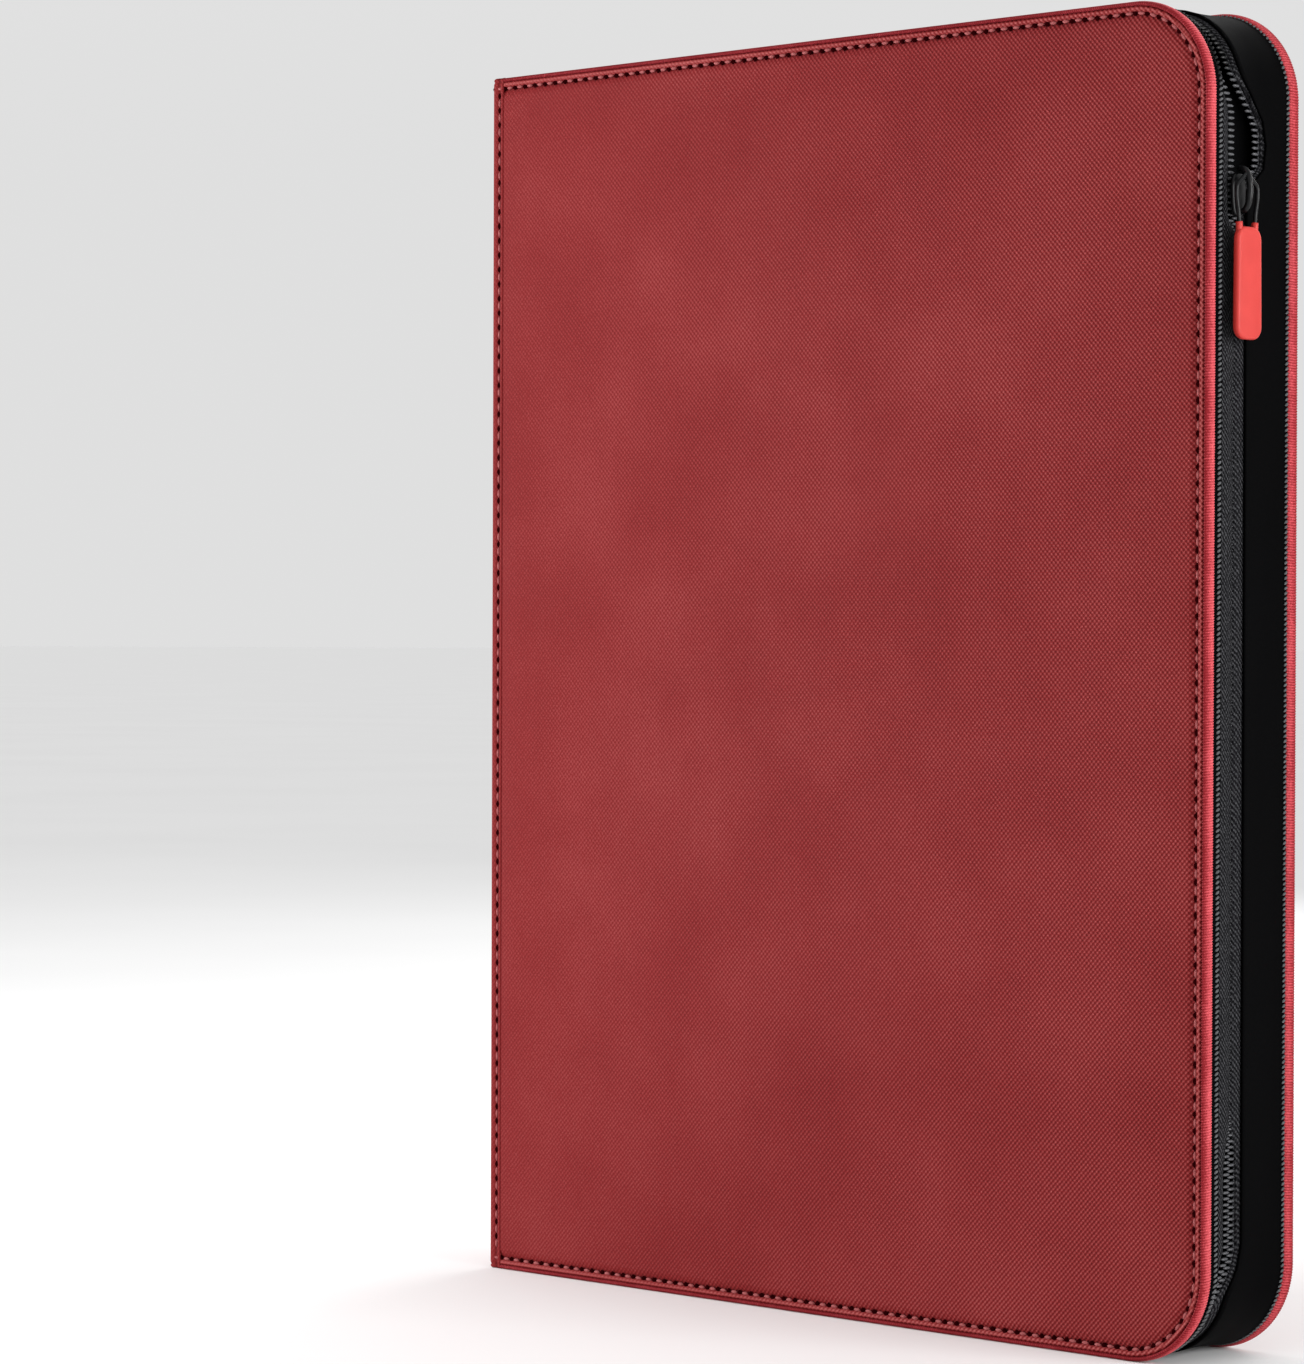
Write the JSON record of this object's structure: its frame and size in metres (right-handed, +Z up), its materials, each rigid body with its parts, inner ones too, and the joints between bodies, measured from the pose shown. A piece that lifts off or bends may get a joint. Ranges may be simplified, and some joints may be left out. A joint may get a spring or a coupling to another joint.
{
  "type": "trading card binder",
  "caption": "Zipped ring binder for trading cards: two cloth-covered boards on a spine, pocket pages on metal rings, and a soft gusset with a coil zipper round three sides.",
  "frame": {"origin": "centre of the binder's base, standing upright on the bottom edges of its covers, with the zipper's puller and the spine's rivets counted in its width", "axes": "+Z up along the spine, +X from the spine to the fore edge, +Y from the front cover to the back cover"},
  "size_m": [0.2628, 0.037, 0.34],
  "materials": {
    "cover_cloth": "fine two-tone diagonal twill, dark red",
    "binding_cloth": "fine ribbed bias binding, bright red",
    "board": "grey chipboard",
    "lining": "smooth black lining cloth",
    "gusset_cloth": "smooth dense black cloth",
    "zipper_tape": "dark grey woven twill tape",
    "zipper_coil": "dark grey moulded coil",
    "slider_metal": "gloss black enamel over die-cast metal",
    "puller_rubber": "soft bright red moulded rubber",
    "ring_steel": "nickel-plated steel",
    "trigger_cap": "moulded black plastic",
    "page_film": "clear side-loading polypropylene pocket film"
  },
  "bodies": {
    "spine": {"spine_skin": "cover_cloth", "spine_board": "board", "spine_lining": "lining", "front_hinge_cloth": "cover_cloth", "back_hinge_cloth": "cover_cloth", "ring_rail": "ring_steel", "rivet_top": "ring_steel", "rivet_bottom": "ring_steel", "end_tab_top": "gusset_cloth", "end_tab_bottom": "gusset_cloth"},
    "front_cover": {"front_skin": "cover_cloth", "front_binding": "binding_cloth", "front_board": "board", "front_lining": "lining", "front_gusset": "gusset_cloth", "front_tape": "zipper_tape", "front_coil": "zipper_coil"},
    "front_rings": {"front_ring_plate": "ring_steel", "front_ring_top": "ring_steel", "front_ring_middle": "ring_steel", "front_ring_bottom": "ring_steel"},
    "back_cover": {"back_skin": "cover_cloth", "back_binding": "binding_cloth", "back_board": "board", "back_lining": "lining", "back_gusset": "gusset_cloth", "back_tape": "zipper_tape", "back_coil": "zipper_coil"},
    "back_rings": {"back_ring_plate": "ring_steel", "back_ring_top": "ring_steel", "back_ring_middle": "ring_steel", "back_ring_bottom": "ring_steel"},
    "top_trigger": {"trigger_top": "ring_steel", "trigger_cap_top": "trigger_cap"},
    "bottom_trigger": {"trigger_bottom": "ring_steel", "trigger_cap_bottom": "trigger_cap"},
    "front_page_01": {"front_page_01": "page_film"},
    "front_page_02": {"front_page_02": "page_film"},
    "front_page_03": {"front_page_03": "page_film"},
    "front_page_04": {"front_page_04": "page_film"},
    "front_page_05": {"front_page_05": "page_film"},
    "front_page_06": {"front_page_06": "page_film"},
    "front_page_07": {"front_page_07": "page_film"},
    "front_page_08": {"front_page_08": "page_film"},
    "front_page_09": {"front_page_09": "page_film"},
    "front_page_10": {"front_page_10": "page_film"},
    "back_page_01": {"back_page_01": "page_film"},
    "back_page_02": {"back_page_02": "page_film"},
    "back_page_03": {"back_page_03": "page_film"},
    "back_page_04": {"back_page_04": "page_film"},
    "back_page_05": {"back_page_05": "page_film"},
    "back_page_06": {"back_page_06": "page_film"},
    "back_page_07": {"back_page_07": "page_film"},
    "back_page_08": {"back_page_08": "page_film"},
    "back_page_09": {"back_page_09": "page_film"},
    "back_page_10": {"back_page_10": "page_film"},
    "slider": {"slider_body": "slider_metal"},
    "puller": {"puller_link": "slider_metal", "puller_tab": "puller_rubber"}
  },
  "joints": [
    {"name": "front_cover_hinge", "type": "hinge", "parent": "spine", "child": "front_cover", "pos_m": [-0.12899, -0.01727, 0], "axis": [0, 0, -1], "range_deg": [0, 90], "deforming": ["front_hinge_cloth"]},
    {"name": "back_cover_hinge", "type": "hinge", "parent": "spine", "child": "back_cover", "pos_m": [-0.12899, 0.01727, 0], "axis": [0, 0, 1], "range_deg": [0, 90], "deforming": ["back_hinge_cloth"]},
    {"name": "front_rings_open", "type": "hinge", "parent": "spine", "child": "front_rings", "pos_m": [-0.12492, -0.0072, 0.17], "axis": [0, 0, -1], "range_deg": [0, 7.5]},
    {"name": "back_rings_open", "type": "hinge", "parent": "spine", "child": "back_rings", "pos_m": [-0.12492, 0.0072, 0.17], "axis": [0, 0, 1], "range_deg": [0, 7.5]},
    {"name": "top_trigger_pull", "type": "hinge", "parent": "spine", "child": "top_trigger", "pos_m": [-0.12612, 0, 0.317], "axis": [0, -1, 0], "range_deg": [0, 9]},
    {"name": "bottom_trigger_pull", "type": "hinge", "parent": "spine", "child": "bottom_trigger", "pos_m": [-0.12612, 0, 0.023], "axis": [0, 1, 0], "range_deg": [0, 9]},
    {"name": "front_page_01_turn", "type": "hinge", "parent": "spine", "child": "front_page_01", "pos_m": [-0.11173, 0, 0.17], "axis": [0, 0, -1], "range_deg": [0, 81.01]},
    {"name": "front_page_02_turn", "type": "hinge", "parent": "spine", "child": "front_page_02", "pos_m": [-0.11173, 0, 0.17], "axis": [0, 0, -1], "range_deg": [0, 82.01]},
    {"name": "front_page_03_turn", "type": "hinge", "parent": "spine", "child": "front_page_03", "pos_m": [-0.11173, 0, 0.17], "axis": [0, 0, -1], "range_deg": [0, 83.01]},
    {"name": "front_page_04_turn", "type": "hinge", "parent": "spine", "child": "front_page_04", "pos_m": [-0.11173, 0, 0.17], "axis": [0, 0, -1], "range_deg": [0, 84.01]},
    {"name": "front_page_05_turn", "type": "hinge", "parent": "spine", "child": "front_page_05", "pos_m": [-0.11173, 0, 0.17], "axis": [0, 0, -1], "range_deg": [0, 85.01]},
    {"name": "front_page_06_turn", "type": "hinge", "parent": "spine", "child": "front_page_06", "pos_m": [-0.11173, 0, 0.17], "axis": [0, 0, -1], "range_deg": [0, 86.01]},
    {"name": "front_page_07_turn", "type": "hinge", "parent": "spine", "child": "front_page_07", "pos_m": [-0.11173, 0, 0.17], "axis": [0, 0, -1], "range_deg": [0, 87.01]},
    {"name": "front_page_08_turn", "type": "hinge", "parent": "spine", "child": "front_page_08", "pos_m": [-0.11173, 0, 0.17], "axis": [0, 0, -1], "range_deg": [0, 88.01]},
    {"name": "front_page_09_turn", "type": "hinge", "parent": "spine", "child": "front_page_09", "pos_m": [-0.11173, 0, 0.17], "axis": [0, 0, -1], "range_deg": [0, 89.01]},
    {"name": "front_page_10_turn", "type": "hinge", "parent": "spine", "child": "front_page_10", "pos_m": [-0.11173, 0, 0.17], "axis": [0, 0, -1], "range_deg": [0, 90.01]},
    {"name": "back_page_01_turn", "type": "hinge", "parent": "spine", "child": "back_page_01", "pos_m": [-0.11173, 0, 0.17], "axis": [0, 0, 1], "range_deg": [0, 81.01]},
    {"name": "back_page_02_turn", "type": "hinge", "parent": "spine", "child": "back_page_02", "pos_m": [-0.11173, 0, 0.17], "axis": [0, 0, 1], "range_deg": [0, 82.01]},
    {"name": "back_page_03_turn", "type": "hinge", "parent": "spine", "child": "back_page_03", "pos_m": [-0.11173, 0, 0.17], "axis": [0, 0, 1], "range_deg": [0, 83.01]},
    {"name": "back_page_04_turn", "type": "hinge", "parent": "spine", "child": "back_page_04", "pos_m": [-0.11173, 0, 0.17], "axis": [0, 0, 1], "range_deg": [0, 84.01]},
    {"name": "back_page_05_turn", "type": "hinge", "parent": "spine", "child": "back_page_05", "pos_m": [-0.11173, 0, 0.17], "axis": [0, 0, 1], "range_deg": [0, 85.01]},
    {"name": "back_page_06_turn", "type": "hinge", "parent": "spine", "child": "back_page_06", "pos_m": [-0.11173, 0, 0.17], "axis": [0, 0, 1], "range_deg": [0, 86.01]},
    {"name": "back_page_07_turn", "type": "hinge", "parent": "spine", "child": "back_page_07", "pos_m": [-0.11173, 0, 0.17], "axis": [0, 0, 1], "range_deg": [0, 87.01]},
    {"name": "back_page_08_turn", "type": "hinge", "parent": "spine", "child": "back_page_08", "pos_m": [-0.11173, 0, 0.17], "axis": [0, 0, 1], "range_deg": [0, 88.01]},
    {"name": "back_page_09_turn", "type": "hinge", "parent": "spine", "child": "back_page_09", "pos_m": [-0.11173, 0, 0.17], "axis": [0, 0, 1], "range_deg": [0, 89.01]},
    {"name": "back_page_10_turn", "type": "hinge", "parent": "spine", "child": "back_page_10", "pos_m": [-0.11173, 0, 0.17], "axis": [0, 0, 1], "range_deg": [0, 90.01]},
    {"name": "zipper_slide", "type": "slide", "parent": "back_cover", "child": "slider", "axis": [0, 0, 1], "range_m": [-0.24, 0.012]},
    {"name": "puller_swing", "type": "hinge", "parent": "slider", "child": "puller", "pos_m": [0.12968, -0.0055, 0.2949], "axis": [0, -1, 0], "range_deg": [0, 150]}
  ],
  "couplings": [
    {"joint": "back_rings_open", "follows": "front_rings_open", "ratio": 1},
    {"joint": "top_trigger_pull", "follows": "front_rings_open", "ratio": 1.2},
    {"joint": "bottom_trigger_pull", "follows": "front_rings_open", "ratio": 1.2},
    {"joint": "front_page_01_turn", "follows": "front_cover_hinge", "ratio": 0.9},
    {"joint": "front_page_02_turn", "follows": "front_cover_hinge", "ratio": 0.9111},
    {"joint": "front_page_03_turn", "follows": "front_cover_hinge", "ratio": 0.9222},
    {"joint": "front_page_04_turn", "follows": "front_cover_hinge", "ratio": 0.9333},
    {"joint": "front_page_05_turn", "follows": "front_cover_hinge", "ratio": 0.9444},
    {"joint": "front_page_06_turn", "follows": "front_cover_hinge", "ratio": 0.9556},
    {"joint": "front_page_07_turn", "follows": "front_cover_hinge", "ratio": 0.9667},
    {"joint": "front_page_08_turn", "follows": "front_cover_hinge", "ratio": 0.9778},
    {"joint": "front_page_09_turn", "follows": "front_cover_hinge", "ratio": 0.9889},
    {"joint": "front_page_10_turn", "follows": "front_cover_hinge", "ratio": 1},
    {"joint": "back_page_01_turn", "follows": "back_cover_hinge", "ratio": 0.9},
    {"joint": "back_page_02_turn", "follows": "back_cover_hinge", "ratio": 0.9111},
    {"joint": "back_page_03_turn", "follows": "back_cover_hinge", "ratio": 0.9222},
    {"joint": "back_page_04_turn", "follows": "back_cover_hinge", "ratio": 0.9333},
    {"joint": "back_page_05_turn", "follows": "back_cover_hinge", "ratio": 0.9444},
    {"joint": "back_page_06_turn", "follows": "back_cover_hinge", "ratio": 0.9556},
    {"joint": "back_page_07_turn", "follows": "back_cover_hinge", "ratio": 0.9667},
    {"joint": "back_page_08_turn", "follows": "back_cover_hinge", "ratio": 0.9778},
    {"joint": "back_page_09_turn", "follows": "back_cover_hinge", "ratio": 0.9889},
    {"joint": "back_page_10_turn", "follows": "back_cover_hinge", "ratio": 1}
  ]
}
